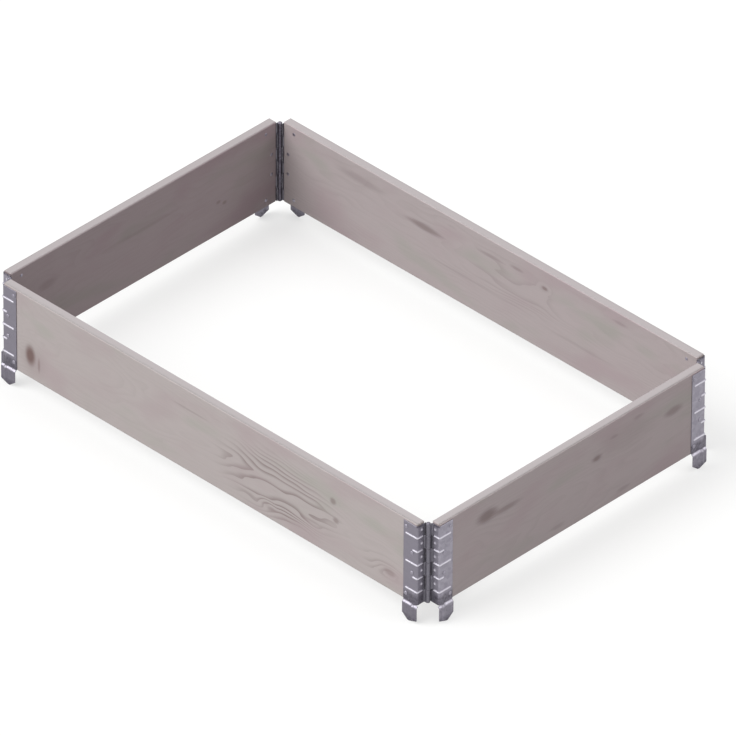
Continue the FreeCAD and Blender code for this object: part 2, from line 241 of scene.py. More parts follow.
# %% Wood colours
EARLY_WOOD = "#BBB1B1"
LATE_WOOD = "#8F8180"
ROSY_STAIN = "#B5A5A8"
OLIVE_STAIN = "#ACABA3"
KNOT_BROWN = "#6F5450"
END_GRAIN = "#8F8583"
TOP_GREY = "#9F999A"
# Dirt on the upper outer arris, and the darkening towards each board's foot.
ARRIS_DIRT_AND_DARK_FOOT = "#7C7977"
print("late wood in linear light:", [round(part, 3) for part in rgb(LATE_WOOD)[:3]])

# %% Wood sizes
# A year ring in millimetres, and the waves of each noise per metre along a
# board, through it and up it: the rings wander over 60 to 220 mm, stains are 70
# to 170 mm wide, and fibres are 50 mm long and 1 to 2 mm thick.
PER_METRE, MM = 1000.0, 0.001
YEAR_RING = 4.2
WANDER = (4.5, 12.0, 16.0)
STAIN = (6.0, 10.0, 14.0)
FIBRE = (20.0, 600.0, 900.0)
# Two noises reuse those waves, one finer and one broader by a factor. Detail
# adds ever finer noise to a noise, and grit is how strong that is.
FIGURE_WAVES = 1.7
OLIVE_WAVES = 0.8
SOFT_DETAIL = 2.0
FIBRE_DETAIL, FIBRE_GRIT = 4.0, 0.6
# Late wood fills this part of a ring, and then the next ring starts.
LATE_WOOD_SPAN = (0.35, 0.95)
# An oval fades in from the first to the second of these, where 1 is its rim.
KNOT_FADE = (1.25, 0.35)
PUSH_FADE = (3.2, 0.6)
STAIN_FADE = (1.15, 0.3)
FLAME_FADE = (1.2, 0.5)
# Across each of these spans of noise the figure or a stain fades in.
FIGURE_SPAN = (0.35, 0.65)
ROSY_SPAN, ROSY_SHARE = (0.48, 0.72), 0.7
OLIVE_SPAN, OLIVE_SHARE = (0.44, 0.28), 0.6
# Most fibre noise lies in this span, and streaks, roughens and frays the wood.
FIBRE_SPAN = (0.3, 0.7)
STREAKS = (0.95, 1.05)
FRAY = 0.8
WOOD_ROUGHNESS = (0.68, 0.86)
WOOD_SHEEN = 0.3
# How deep the fibres are in metres, how much of that a ring adds, and how
# strongly both catch the light.
FIBRE_RELIEF, RING_RELIEF, WOOD_BUMP = 0.0003, 0.5, 0.35
# Weathering, and a darkening at the foot, fade in between two places, in
# millimetres from the edge named.
END_FADE, END_SHARE = (1.5, 0.5), 0.6
TOP_FADE, TOP_SHARE = (1.6, 0.4), 0.9
ARRIS_TOP_FADE, ARRIS_OUTER_FADE, ARRIS_SHARE = (2.5, 0.5), (-3.5, -9.0), 0.35
FOOT_FADE, FOOT_SHARE = (5.0, 0.5), 0.5
print("year rings per metre:", round(PER_METRE / YEAR_RING))

# %% Noise, ramps and mixtures


def noise(tree, place, scale, detail=3.0, roughness=0.5):
    """Noise between about 0 and 1, with features 1 / scale units apart."""
    new = add(tree, "ShaderNodeTexNoise",
              {"Vector": place, "Scale": scale, "Detail": detail, "Roughness": roughness})
    return new.outputs["Fac"]


def stretched(tree, place, per_metre):
    """A place in millimetres, scaled to waves of noise per metre along each axis."""
    scale = [count / PER_METRE for count in per_metre]
    return add(tree, "ShaderNodeMapping", {"Vector": place, "Scale": scale}).outputs[0]


def ramp(tree, value, low, high, to_low=0.0, to_high=1.0, kind="SMOOTHSTEP"):
    """A value carried from one range to another, smoothly and clamped."""
    new = add(tree, "ShaderNodeMapRange",
              {"Value": value, "From Min": low, "From Max": high,
               "To Min": to_low, "To Max": to_high}, interpolation_type=kind)
    return new.outputs[0]


def blend_colours(tree, share, first, second):
    """Mix two colours, each a socket or sRGB hex."""
    new = add(tree, "ShaderNodeMix", {"Factor": share}, data_type="RGBA")
    for socket, colour in ((new.inputs[6], first), (new.inputs[7], second)):
        if isinstance(colour, str):
            socket.default_value = rgb(colour)
        else:
            tree.links.new(colour, socket)
    return new.outputs[2]


# %% Places in a board
LONG_SIDES = ("front", "back")


def board_place(tree, side):
    """How far a point lies along a board, inwards through it and up it, in millimetres.

    Along and inwards count from the board's middle, up from its lower edge. The
    board's half length and its height come with them.
    """
    low, high = (PER_METRE * np.array(corner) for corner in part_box(f"{side}_board"))
    middle = (low + high) / 2
    shift = (-middle[0], -middle[1], -low[2])
    spot = add(tree, "ShaderNodeTexCoord").outputs["Object"]
    in_mm = add(tree, "ShaderNodeMapping",
                {"Vector": spot, "Location": shift, "Scale": [PER_METRE] * 3})
    parts = add(tree, "ShaderNodeSeparateXYZ", {0: in_mm.outputs[0]}).outputs
    lengthwise = 0 if side in LONG_SIDES else 1
    inward = 1 if side in ("front", "left") else -1
    inwards = maths(tree, "MULTIPLY", parts[1 - lengthwise], inward)
    half_length = high[lengthwise] - middle[lengthwise]
    return (parts[lengthwise], inwards, parts[2]), half_length, high[2] - low[2]


def hypotenuse(tree, a, b):
    """The square root of a squared plus b squared."""
    a, b = (maths(tree, "MULTIPLY", number, number) for number in (a, b))
    return maths(tree, "SQRT", maths(tree, "ADD", a, b))


def oval_distance(tree, place, oval):
    """0 at the middle of an oval, 1 on its rim and more outside it."""
    along, _, up = place
    middle_along, middle_up, half_length, half_height = oval[:4]
    a = maths(tree, "DIVIDE", maths(tree, "SUBTRACT", along, middle_along), half_length)
    b = maths(tree, "DIVIDE", maths(tree, "SUBTRACT", up, middle_up), half_height)
    return hypotenuse(tree, a, b)


front_size = np.subtract(*reversed(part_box("front_board"))) / MM
print("the front board measures, mm:", front_size.round(1))

# %% Year rings and knots


def ring_radius(tree, place, wander, pith, knots):
    """How far from the pith line a place lies, and how much of it is knot.

    Slow noise bends the distance and each knot adds a push to it. The line's
    depth and height are those at mid-length plus a slope times the place along.
    The last number of pith is how far, in millimetres, the noise bends a ring.
    """
    along, inwards, up = place
    pith_depth = maths(tree, "ADD", maths(tree, "MULTIPLY", along, pith[2]), pith[0])
    pith_up = maths(tree, "ADD", maths(tree, "MULTIPLY", along, pith[3]), pith[1])
    radius = hypotenuse(tree, maths(tree, "SUBTRACT", inwards, pith_depth),
                        maths(tree, "SUBTRACT", up, pith_up))
    uneven = maths(tree, "SUBTRACT", noise(tree, wander, 1.0, SOFT_DETAIL), 0.5)
    radius = maths(tree, "ADD", radius, maths(tree, "MULTIPLY", uneven, pith[4]))
    knot_share = 0.0
    for knot in knots:
        away = oval_distance(tree, place, knot)
        radius = maths(tree, "ADD", radius, ramp(tree, away, *PUSH_FADE, 0.0, knot[4]))
        inside = ramp(tree, away, *KNOT_FADE, 0.0, knot[5])
        knot_share = maths(tree, "MAXIMUM", knot_share, inside)
    return radius, knot_share


def late_wood(tree, radius):
    """0 in a ring's early wood, rising smoothly to 1 in its late wood, which ends sharply."""
    phase = maths(tree, "FRACT", maths(tree, "DIVIDE", radius, YEAR_RING))
    return maths(tree, "MULTIPLY", ramp(tree, phase, *LATE_WOOD_SPAN),
                 ramp(tree, phase, 1.0, LATE_WOOD_SPAN[1]))


def figure_strength(tree, place, wander, figure):
    """How strongly the rings show: between two shares by slow noise, and more in each flame."""
    strength = ramp(tree, noise(tree, wander, FIGURE_WAVES, SOFT_DETAIL),
                    *FIGURE_SPAN, *figure[:2])
    for flame in figure[2:]:
        inside = ramp(tree, oval_distance(tree, place, flame), *FLAME_FADE, 0.0, flame[4])
        strength = maths(tree, "ADD", strength, inside)
    return strength


print("a knot bends rings up to", PUSH_FADE[0], "times its own size away")

# %% Stains and weather


def stained(tree, colour, place, lengthwise, fibre, stains):
    """The colour with broad rosy and olive stains and with darker ovals, frayed by the fibres."""
    broad = stretched(tree, lengthwise, STAIN)
    rosy = ramp(tree, noise(tree, broad, 1.0, SOFT_DETAIL), *ROSY_SPAN, 0.0, ROSY_SHARE)
    colour = blend_colours(tree, rosy, colour, ROSY_STAIN)
    olive = ramp(tree, noise(tree, broad, OLIVE_WAVES, SOFT_DETAIL), *OLIVE_SPAN, 0.0, OLIVE_SHARE)
    colour = blend_colours(tree, olive, colour, OLIVE_STAIN)
    fray = maths(tree, "MULTIPLY", maths(tree, "SUBTRACT", fibre, 0.5), FRAY)
    for stain in stains:
        away = maths(tree, "ADD", oval_distance(tree, place, stain), fray)
        share = ramp(tree, away, *STAIN_FADE, 0.0, stain[4])
        colour = blend_colours(tree, share, colour, LATE_WOOD)
    return colour


def weathered_with_dark_foot(tree, colour, place, height):
    """The colour with a greyed top and dirt on the upper outer arris, and darker
    towards the foot.
    """
    _, inwards, up = place
    top = ramp(tree, up, height - TOP_FADE[0], height - TOP_FADE[1], 0.0, TOP_SHARE)
    colour = blend_colours(tree, top, colour, TOP_GREY)
    arris_top = ramp(tree, up, height - ARRIS_TOP_FADE[0], height - ARRIS_TOP_FADE[1])
    arris_outer = ramp(tree, inwards, *ARRIS_OUTER_FADE, 0.0, ARRIS_SHARE)
    # Darker towards the board's foot.
    foot = ramp(tree, up, *FOOT_FADE, 0.0, FOOT_SHARE)
    darkening = maths(tree, "MAXIMUM", maths(tree, "MULTIPLY", arris_top, arris_outer), foot)
    return blend_colours(tree, darkening, colour, ARRIS_DIRT_AND_DARK_FOOT)


print("dirt reaches", FOOT_FADE[0], "mm up from the foot of a board")

# %% Pine


def make_pine(side, tone_and_shade, pith, knots, stains, figure):
    """Planed, greyed pine for one board: matt, with soft figure, knots and fibres.

    tone_and_shade scales the board's colour before it weathers. It is partly the
    board's own tone and partly painted shade, darkest on the left board, whose
    inner face lies in shade.
    pith is how deep inwards and how high up the pith runs at mid-length, how
    much both change per millimetre, and how far the rings wander. Rings bend
    round knots, not round stains. figure is how strongly the rings show at
    least and at most, and then the ovals where they flame.
    """
    material, tree, shader = new_material(f"greyed_planed_pine_{side}")
    place, half_length, height = board_place(tree, side)
    along, inwards, up = place
    lengthwise = add(tree, "ShaderNodeCombineXYZ", {0: along, 1: inwards, 2: up}).outputs[0]
    wander = stretched(tree, lengthwise, WANDER)
    fibre = noise(tree, stretched(tree, lengthwise, FIBRE), 1.0, FIBRE_DETAIL, FIBRE_GRIT)
    radius, knot_share = ring_radius(tree, place, wander, pith, knots)
    rings = maths(tree, "MULTIPLY", late_wood(tree, radius),
                  figure_strength(tree, place, wander, figure))
    colour = blend_colours(tree, rings, EARLY_WOOD, LATE_WOOD)
    colour = stained(tree, colour, place, lengthwise, fibre, stains)
    colour = blend_colours(tree, knot_share, colour, KNOT_BROWN)
    end = ramp(tree, maths(tree, "ABSOLUTE", along),
               half_length - END_FADE[0], half_length - END_FADE[1], 0.0, END_SHARE)
    colour = blend_colours(tree, end, colour, END_GRAIN)
    streaks = ramp(tree, fibre, *FIBRE_SPAN, *STREAKS, "LINEAR")
    # The board's own tone, and painted shade on the boards that lie in shade.
    colour = add(tree, "ShaderNodeVectorMath", {0: colour, 1: tone_and_shade}, operation="MULTIPLY")
    colour = add(tree, "ShaderNodeVectorMath",
                 {0: colour.outputs[0], "Scale": streaks}, operation="SCALE").outputs[0]
    colour = weathered_with_dark_foot(tree, colour, place, height)
    tree.links.new(colour, shader.inputs["Base Color"])
    tree.links.new(ramp(tree, fibre, *FIBRE_SPAN, *WOOD_ROUGHNESS), shader.inputs["Roughness"])
    shader.inputs["Specular IOR Level"].default_value = WOOD_SHEEN
    grain = maths(tree, "ADD", maths(tree, "MULTIPLY", rings, RING_RELIEF), fibre)
    bump = add(tree, "ShaderNodeBump",
               {"Height": grain, "Distance": FIBRE_RELIEF, "Strength": WOOD_BUMP})
    tree.links.new(bump.outputs[0], shader.inputs["Normal"])
    return material


# %% One pine for each board
# Every oval starts with along, up, half length and half height, in millimetres
# from the board's middle and lower edge. The share of a stain or flame follows.
# A knot has how far it pushes the rings, in millimetres, and how dark it is.
# The first colour of each board scales its wood: its own tone, and painted shade that darkens the
# left board most.
PINES = {
    "front": make_pine(
        "front", (0.945, 0.955, 0.94), (150, 95, 0.035, -0.05, 34),
        [(-496, 56, 15, 26, 9, 0.85), (-472, 43, 4, 19, 2, 0.35), (496, 42, 18, 9, 6, 0.3),
         (228, 28, 34, 11, 8, 0.06), (160, 33, 10, 6, 4, 0.1)],
        [(341, 133, 10, 10, 0.75), (349, 90, 10, 8, 0.65), (287, 56, 20, 4, 0.35),
         (-50, 149, 60, 3, 0.35), (-490, 48, 42, 44, 0.2)],
        (0.03, 0.09, (190, 85, 165, 80, 0.75), (235, 30, 70, 30, 0.3), (480, 45, 60, 30, 0.35))),
    "back": make_pine(
        "back", (0.91, 0.90, 0.905), (170, 150, -0.03, 0.02, 30),
        [(155, 152, 9, 5, 4, 0.5)],
        [(-176, 134, 56, 10, 0.8), (78, 161, 22, 5, 0.5), (10, 156, 40, 5, 0.4),
         (361, 171, 24, 5, 0.35), (-355, 160, 80, 12, 0.35), (250, 60, 120, 5, 0.2),
         (-60, 70, 160, 4, 0.2)],
        (0.04, 0.14, (60, 120, 130, 60, 0.2))),
    "right": make_pine(
        "right", (0.925, 0.90, 0.915), (140, 60, 0.04, 0.03, 30),
        [(68, 128, 10, 6, 5, 0.25)],
        [(-238, 148, 34, 18, 0.9), (-185, 140, 50, 9, 0.6), (283, 133, 30, 12, 0.65),
         (68, 128, 18, 9, 0.6), (183, 169, 18, 5, 0.35), (116, 156, 14, 5, 0.35),
         (144, 18, 24, 6, 0.35), (-41, 20, 24, 6, 0.35), (150, 140, 110, 40, 0.18)],
        (0.03, 0.11)),
    "left": make_pine(
        "left", (0.68, 0.635, 0.66), (160, 110, 0.03, -0.03, 30),
        [(207, 80, 7, 5, 4, 0.3), (224, 71, 7, 5, 4, 0.35)],
        [(0, 120, 120, 6, 0.2), (-270, 120, 30, 14, 0.35)],
        (0.03, 0.11)),
}
print("pines:", list(PINES))

# %% [markdown]
# ## Galvanised sheet
#
# Hot-dip zinc on steel: a soft grey metal with a faint violet cast, broken into
# dull spangles a few millimetres across. Pressed crests are lighter, partly by
# wear and partly by a painted highlight. The leg is darker, and painted shade
# darkens its tip, the pocket above its ledge, the inner side by the pin and the
# tops in the corner. Pale dust lies by the pin outside, where nothing rubs it
# off. A picture could be painted for all that. Here cells give the spangle, and
# each leaf's own mesh says in three attributes where it has wear and painted
# highlight, painted shade or dust, because those follow the pressing.

# %% Zinc colours and sizes
ZINC = "#9E9AA5"
# Painted shade: the long boards' leaves get this darker zinc.
SHADED_LONG_ZINC = "#85818B"
DULL_ZINC = "#898590"
# Wear on the pressed crests, with a painted highlight laid on it.
WORN_AND_HIGHLIT_ZINC = "#CBC8D1"
# The pin's wire is painted dark, a painted shade for the shadowed corner.
SHADED_WIRE = "#5C5962"
# Painted shade by the pin, above the ledge, at the leg's tip and on the tops in the corner; the
# whole leg is darker too.
PAINTED_SHADE_ZINC = "#57535D"
PALE_DUST = "#807D87"
# A spangle in millimetres, and clouds and specks per metre; the specks break up
# the painted shade.
SPANGLE = 7.0
CLOUDS = 50.0
SPECKS, SPECK_DETAIL = 220.0, 4.0
CLOUD_RELIEF, CLOUD_BUMP = 0.0002, 0.3
# How much the dull zinc shows in the dullest spangles and clouds.
SPANGLE_SHARE = 0.55
CLOUD_SPAN, CLOUD_SHARE = (0.4, 0.7), 0.45
ZINC_ROUGHNESS = (0.40, 0.52)
# How the wear with its painted highlight fades in, and how much it shows.
WEAR_AND_HIGHLIGHT_FADE, WEAR_AND_HIGHLIGHT_SHARE = (0.15, 0.8), 0.9
SPECK_SPAN, SPECK_STRENGTH = (0.3, 0.7), (0.5, 1.3)
DUSTY_METALLIC = 0.4
print("spangles per metre:", round(PER_METRE / SPANGLE))

# %% Steel


def make_steel(name, base, marked):
    """Galvanised sheet: metallic, half-matt, mottled by its spangle.

    A marked steel also reads from the mesh where it has wear with a painted
    highlight, where painted shade darkens it, and where it is dusty.
    Dust is no metal, so it takes away part of the metallic look.
    """
    material, tree, shader = new_material(name)
    spot = add(tree, "ShaderNodeTexCoord").outputs["Object"]
    to_mm = add(tree, "ShaderNodeMapping", {"Vector": spot, "Scale": [PER_METRE] * 3}).outputs[0]
    cells = add(tree, "ShaderNodeTexVoronoi",
                {"Vector": to_mm, "Scale": 1 / SPANGLE, "Randomness": 1.0})
    tone = add(tree, "ShaderNodeSeparateColor", {0: cells.outputs["Color"]}).outputs[0]
    cloud = noise(tree, to_mm, CLOUDS / PER_METRE)
    colour = blend_colours(tree, maths(tree, "MULTIPLY", tone, SPANGLE_SHARE), base, DULL_ZINC)
    cloudy = ramp(tree, cloud, *CLOUD_SPAN, 0.0, CLOUD_SHARE)
    colour = blend_colours(tree, cloudy, colour, DULL_ZINC)
    shader.inputs["Metallic"].default_value = 1.0
    if marked:
        wear_and_highlight, painted_shade, dust = (
            add(tree, "ShaderNodeAttribute", attribute_name=mark).outputs["Fac"]
            for mark in ("wear_and_highlight", "painted_shade", "dust"))
        # Wear on the crests, and a painted highlight with it.
        worn_and_highlit = ramp(tree, wear_and_highlight, *WEAR_AND_HIGHLIGHT_FADE, 0.0, WEAR_AND_HIGHLIGHT_SHARE)
        colour = blend_colours(tree, worn_and_highlit, colour, WORN_AND_HIGHLIT_ZINC)
        specks = ramp(tree, noise(tree, to_mm, SPECKS / PER_METRE, SPECK_DETAIL),
                      *SPECK_SPAN, *SPECK_STRENGTH, "LINEAR")
        # Painted shade, broken up by specks.
        shaded = maths(tree, "MULTIPLY", painted_shade, specks, clamp=True)
        colour = blend_colours(tree, shaded, colour, PAINTED_SHADE_ZINC)
        colour = blend_colours(tree, dust, colour, PALE_DUST)
        metallic = ramp(tree, dust, 0.0, 1.0, 1.0, DUSTY_METALLIC)
        tree.links.new(metallic, shader.inputs["Metallic"])
    tree.links.new(colour, shader.inputs["Base Color"])
    roughness = ramp(tree, tone, 0.0, 1.0, *ZINC_ROUGHNESS, "LINEAR")
    tree.links.new(roughness, shader.inputs["Roughness"])
    bump = add(tree, "ShaderNodeBump",
               {"Height": cloud, "Distance": CLOUD_RELIEF, "Strength": CLOUD_BUMP})
    tree.links.new(bump.outputs[0], shader.inputs["Normal"])
    return material


# %% One steel for each kind of piece
# The long boards' leaves get a darker zinc than the short boards', a painted
# shade that holds down the light the front leaves catch from the softbox.
# Rivets stay clean, and the pin's wire is painted dark, a painted shade for the
# shadowed corner it stands in.
shaded_long_steel = make_steel("galvanised_pressed_sheet_painted_darker", SHADED_LONG_ZINC, True)
short_steel = make_steel("galvanised_pressed_sheet", ZINC, True)
rivet_steel = make_steel("galvanised_rivet", ZINC, False)
shaded_pin_steel = make_steel("drawn_wire_painted_dark", SHADED_WIRE, False)
for name, node in nodes.items():
    node.data.materials.clear()
    pine = PINES[name.split("_")[0]]
    node.data.materials.append(pine if name.endswith("board") else short_steel)
print("steels:", shaded_long_steel.name, short_steel.name, rivet_steel.name, shaded_pin_steel.name)

# %% [markdown]
# ## The collar's own corners
#
# Everything on a hinge is placed from its pin. Each leaf gets a small frame of
# its own: x runs from the pin along its board, d runs from the pin out through
# the board's face, and h runs up from the board's lower edge. Each place could
# be worked out by hand from the collar's sizes, but reading the pins and boards
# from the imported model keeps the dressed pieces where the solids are.

# %% Corner frames
OUTWARD = {"front": (0, -1, 0), "right": (1, 0, 0), "back": (0, 1, 0), "left": (-1, 0, 0)}
NEIGHBOURS = {"front": ("left", "right"), "right": ("front", "back"),
              "back": ("right", "left"), "left": ("back", "front")}


def corner_frame(side, end):
    """Where a leaf's pin stands, and the unit vectors of x, d and h for that leaf."""
    owner, other = (side, end) if side in LONG_SIDES else (end, side)
    low, high = (np.array(corner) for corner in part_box(f"{owner}_{other}_pin"))
    origin = (low + high) / 2
    origin[2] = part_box(f"{side}_board")[0][2]
    out = np.array(OUTWARD[side], dtype=float)
    along = -np.array(OUTWARD[end], dtype=float)
    return origin, along, out, np.array((0.0, 0.0, 1.0))


def in_corner(place, x, d, h):
    """Points of the model from a leaf's own x, d and h: origin + x along + d out + h up."""
    origin, along, out, up = place
    return origin + x[..., None] * along + d[..., None] * out + h[..., None] * up


def is_right_handed(place):
    """True where x, d and h turn like the model's X, Y and Z."""
    _, along, out, up = place
    return float(np.dot(np.cross(along, out), up)) > 0


LEAVES = [(side, end) for side in OUTWARD for end in NEIGHBOURS[side]]
print("pin of the near corner:", corner_frame("front", "right")[0])

# %% [markdown]
# ## From arrays to a mesh
#
# A piece could be pushed and pulled by hand out of a cube. Here each new one is
# worked out as whole numpy arrays instead, a grid of points and a mask that says
# which of its quads are kept, so its sizes are exact and can be changed. One
# function turns such grids into faces and one more fills the mesh.

# %% Grids to meshes


def grid_faces(rows, columns, keep=None, flip=False, wrap=False, first=0):
    """Quads between neighbouring points of a grid of rows by columns.

    Point (i, j) has the number first + i * columns + j. keep says which quads
    stay, flip turns them over, and wrap joins the last column to the first.
    """
    i = np.arange(rows - 1)[:, None]
    j = np.arange(columns if wrap else columns - 1)[None, :]
    following = (j + 1) % columns
    corners = [i * columns + j, (i + 1) * columns + j,
               (i + 1) * columns + following, i * columns + following]
    quads = np.stack(corners, axis=-1)
    quads = quads[keep] if keep is not None else quads.reshape(-1, 4)
    return (quads[:, ::-1] if flip else quads) + first


def make_mesh(name, points, faces, material, marks=None):
    """A smooth object at the origin from points and quads, without the unused points.

    marks holds named numbers, one per point, that the material reads.
    """
    faces = np.asarray(faces)
    used, numbers = np.unique(faces, return_inverse=True)
    faces = numbers.reshape(faces.shape)
    points = points[used]
    mesh = bpy.data.meshes.new(name)
    mesh.vertices.add(len(points))
    mesh.vertices.foreach_set("co", points.astype(np.float32).ravel())
    mesh.loops.add(faces.size)
    mesh.loops.foreach_set("vertex_index", faces.astype(np.int32).ravel())
    mesh.polygons.add(len(faces))
    mesh.polygons.foreach_set("loop_start", np.arange(0, faces.size, 4, dtype=np.int32))
    mesh.update(calc_edges=True)
    mesh.validate()
    mesh.polygons.foreach_set("use_smooth", np.full(len(mesh.polygons), True))
    for mark, values in (marks or {}).items():
        layer = mesh.attributes.new(mark, "FLOAT", "POINT")
        layer.data.foreach_set("value", values[used].astype(np.float32))
    mesh.materials.append(material)
    piece = bpy.data.objects.new(name, mesh)
    bpy.context.scene.collection.objects.link(piece)
    return piece


def stations(breaks, step):
    """Places from the first break to the last that hit every break, at most a step apart."""
    spans = [np.linspace(a, b, max(int(math.ceil((b - a) / step - 1e-6)), 1), endpoint=False)
             for a, b in zip(breaks[:-1], breaks[1:])]
    return np.append(np.concatenate(spans), breaks[-1])


print("quads in a grid of 3 by 4 points:", len(grid_faces(3, 4)))

# %% [markdown]
# ## The hinge leaf
#
# On the real collar a leaf is one stamping: a strip of galvanised sheet is cut,
# its ribs, pips and leg are pressed, its edge is bent round the end of the
# board, and its tongues are curled round the pin. It could be put together from
# plates and tubes, but then every joint between them would show. So it is made
# as the press makes it, from one flat sheet that gets bent. Along the strip the
# heading turns by a known angle over each stretch, and the outline follows.

# %% Sizes of the stamping
SHEET = 1.5 * MM
BEND = 3.0 * MM
INNER_BEND = 1.5 * MM
LEAF_END = 43.0 * MM
SKIN = 24.5 * MM
WALL = 5.5 * MM
CURL = 4.58 * MM
CURL_TURN = math.radians(290)
PIN_GAP = 1.0 * MM
LEAF_FOOT = 2.0 * MM
LEAF_TOP = 190.0 * MM
LEG_DROP = 40.0 * MM
LEG_NEAR = 3.5 * MM
LEG_FAR = 42.0 * MM
PITCH = 32.5 * MM
SLOTS = 6
KNUCKLE_GAP = 0.6 * MM
LIP = 4.0 * MM
LIP_START = 4.9 * MM

FLAT = LEAF_END - WALL - BEND
FIRST_TURN = BEND * math.pi / 2
WALL_DEPTH = SKIN - BEND - CURL - INNER_BEND
SECOND_TURN = INNER_BEND * math.pi / 2
STRAP = WALL - INNER_BEND
BEND_END = FLAT + FIRST_TURN
WALL_END = BEND_END + WALL_DEPTH
TONGUE_END = WALL_END + CURL + INNER_BEND - PIN_GAP
STRAP_START = WALL_END + SECOND_TURN
CURL_START = STRAP_START + STRAP
STRIP_END = CURL_START + CURL * CURL_TURN
print("developed length of the strip, mm:", round(STRIP_END / MM, 1))

# %% The strip's outline in plan
STEP = 1.0 * MM
BEND_STATIONS = 9
CURL_STATIONS = 37


def strip_line(place, heading):
    """Points and outward directions along the strip, as (x, d) pairs.

    The heading a is 0 along the board and a right angle down its end. Between
    two places on a circular bend the chord points along the mean heading and is
    as long as the arc times sin(half turn) / (half turn), so the sums are exact.
    """
    turn = np.diff(heading)
    middle = heading[:-1] + turn / 2
    chord = np.diff(place) * np.sinc(turn / (2 * math.pi))
    x = LEAF_END - np.append(0, np.cumsum(chord * np.cos(middle)))
    d = SKIN - np.append(0, np.cumsum(chord * np.sin(middle)))
    return np.stack((x, d), -1), np.stack((-np.sin(heading), np.cos(heading)), -1)


STRIP = stations([0, LEAF_END - LEG_FAR, FLAT, BEND_END, LEAF_END - LEG_NEAR, WALL_END,
                  STRAP_START, TONGUE_END, CURL_START, STRIP_END], STEP)
STRIP = np.unique(np.append(STRIP, np.linspace(FLAT, BEND_END, BEND_STATIONS)))
STRIP = np.unique(np.append(STRIP, np.linspace(CURL_START, STRIP_END, CURL_STATIONS)))
BENT = np.interp(STRIP, [0, FLAT, BEND_END], [0, 0, math.pi / 2])
CURLED = BENT + np.interp(
    STRIP, [WALL_END, STRAP_START, CURL_START, STRIP_END],
    [0, -math.pi / 2, -math.pi / 2, CURL_TURN - math.pi / 2])
print("stations along the strip:", len(STRIP))

# %% Ribs, pips and leg of the stamping
RIB_HALF = 3.7 * MM
RIB_HEIGHT = 2.0 * MM
LONG_RIB_START = 7.5 * MM
SHORT_RIB_START = 26.5 * MM
RIB_STOP = BEND_END + 10.5 * MM
PIP_RADIUS = 5.4 * MM
PIP_HEIGHT = 1.4 * MM
PIP_FROM_PIN = 12.0 * MM
PIP_PLACE = BEND_END + SKIN - BEND - PIP_FROM_PIN
JOGGLE = 4.0 * MM
JOGGLE_DROP = 6.0 * MM
# The ledge gets a little wear and painted highlight.
LEDGE_WEAR_AND_HIGHLIGHT = 0.36
LEG_RIB_PLACE = LEAF_END - 15.0 * MM
LEG_RIB_HALF = 5.0 * MM
LEG_RIB_HEIGHT = 2.0 * MM
LEG_RIB_TOP = 26.0 * MM
LEG_RIB_FOOT = -32.0 * MM


def smooth_step(t):
    """0 below 0, 1 above 1, and 3 t^2 - 2 t^3 between."""
    t = np.clip(t, 0, 1)
    return t * t * (3 - 2 * t)


def dome(distance, radius):
    """1 at the middle and 0 from the radius on: the squared cosine of a quarter turn's share."""
    return np.cos(np.clip(distance / radius, 0, 1) * math.pi / 2) ** 2


def relief(place, h):
    """How far the pressed shapes stand out from the sheet, and how much wear and
    painted highlight they get.

    A rib is a dome of the distance from its middle line, a pip a dome of the
    distance from its centre, and where two overlap the higher one counts. Ribs
    and pips get wear with a painted highlight, from 0 at the foot to 1 at the
    crest, and the leg's ledge a little.
    """
    height = np.zeros(np.broadcast(place, h).shape)
    wear_and_highlight = height
    for number in range(1, SLOTS):
        start = LONG_RIB_START if number % 2 else SHORT_RIB_START
        beyond = np.maximum(np.maximum(start - place, place - RIB_STOP), 0)
        rib = dome(np.hypot(beyond, h - number * PITCH), RIB_HALF)
        pip = dome(np.hypot(place - PIP_PLACE, h - (number + 0.5) * PITCH), PIP_RADIUS)
        height = np.maximum(height, np.maximum(RIB_HEIGHT * rib, PIP_HEIGHT * pip))
        wear_and_highlight = np.maximum(wear_and_highlight, np.maximum(rib, pip))
    ledge = dome(np.abs(h - LEAF_FOOT + JOGGLE_DROP / 2), JOGGLE_DROP)
    wear_and_highlight = np.maximum(wear_and_highlight, LEDGE_WEAR_AND_HIGHLIGHT * ledge)
    beyond = np.maximum(np.maximum(h - LEG_RIB_TOP, LEG_RIB_FOOT - h), 0)
    bead = dome(np.hypot(place - LEG_RIB_PLACE, beyond), LEG_RIB_HALF)
    return np.maximum(height, LEG_RIB_HEIGHT * bead), wear_and_highlight


print("a rib's crest stands out, mm:", round(float(relief(FLAT, PITCH)[0]) / MM, 2))

# %% The leg below the foot
# Each corner of the tip is cut off by this much across and this much up.
TIP_NEAR = (19.0 * MM, 7.0 * MM)
TIP_FAR = (15.0 * MM, 12.0 * MM)


def leg_outline(place, h):
    """x and d of the leg: flat, stepped out by a smooth step, and narrower at its tip.

    The strip's places between the leg's two edges are spread evenly between
    them, and each edge slants inwards over the height of its cut.
    """
    from_tip = h + LEG_DROP
    near = LEG_NEAR + TIP_NEAR[0] * np.clip((TIP_NEAR[1] - from_tip) / TIP_NEAR[1], 0, 1)
    far = LEG_FAR - TIP_FAR[0] * np.clip((TIP_FAR[1] - from_tip) / TIP_FAR[1], 0, 1)
    share = (place - LEAF_END + LEG_FAR) / (LEG_FAR - LEG_NEAR)
    return far - share * (far - near), SKIN + JOGGLE * smooth_step((LEAF_FOOT - h) / JOGGLE_DROP)


print("the leg is", round((LEG_FAR - LEG_NEAR) / MM, 1), "mm wide above its cuts")

# %% The whole sheet
HAIR = 1e-9


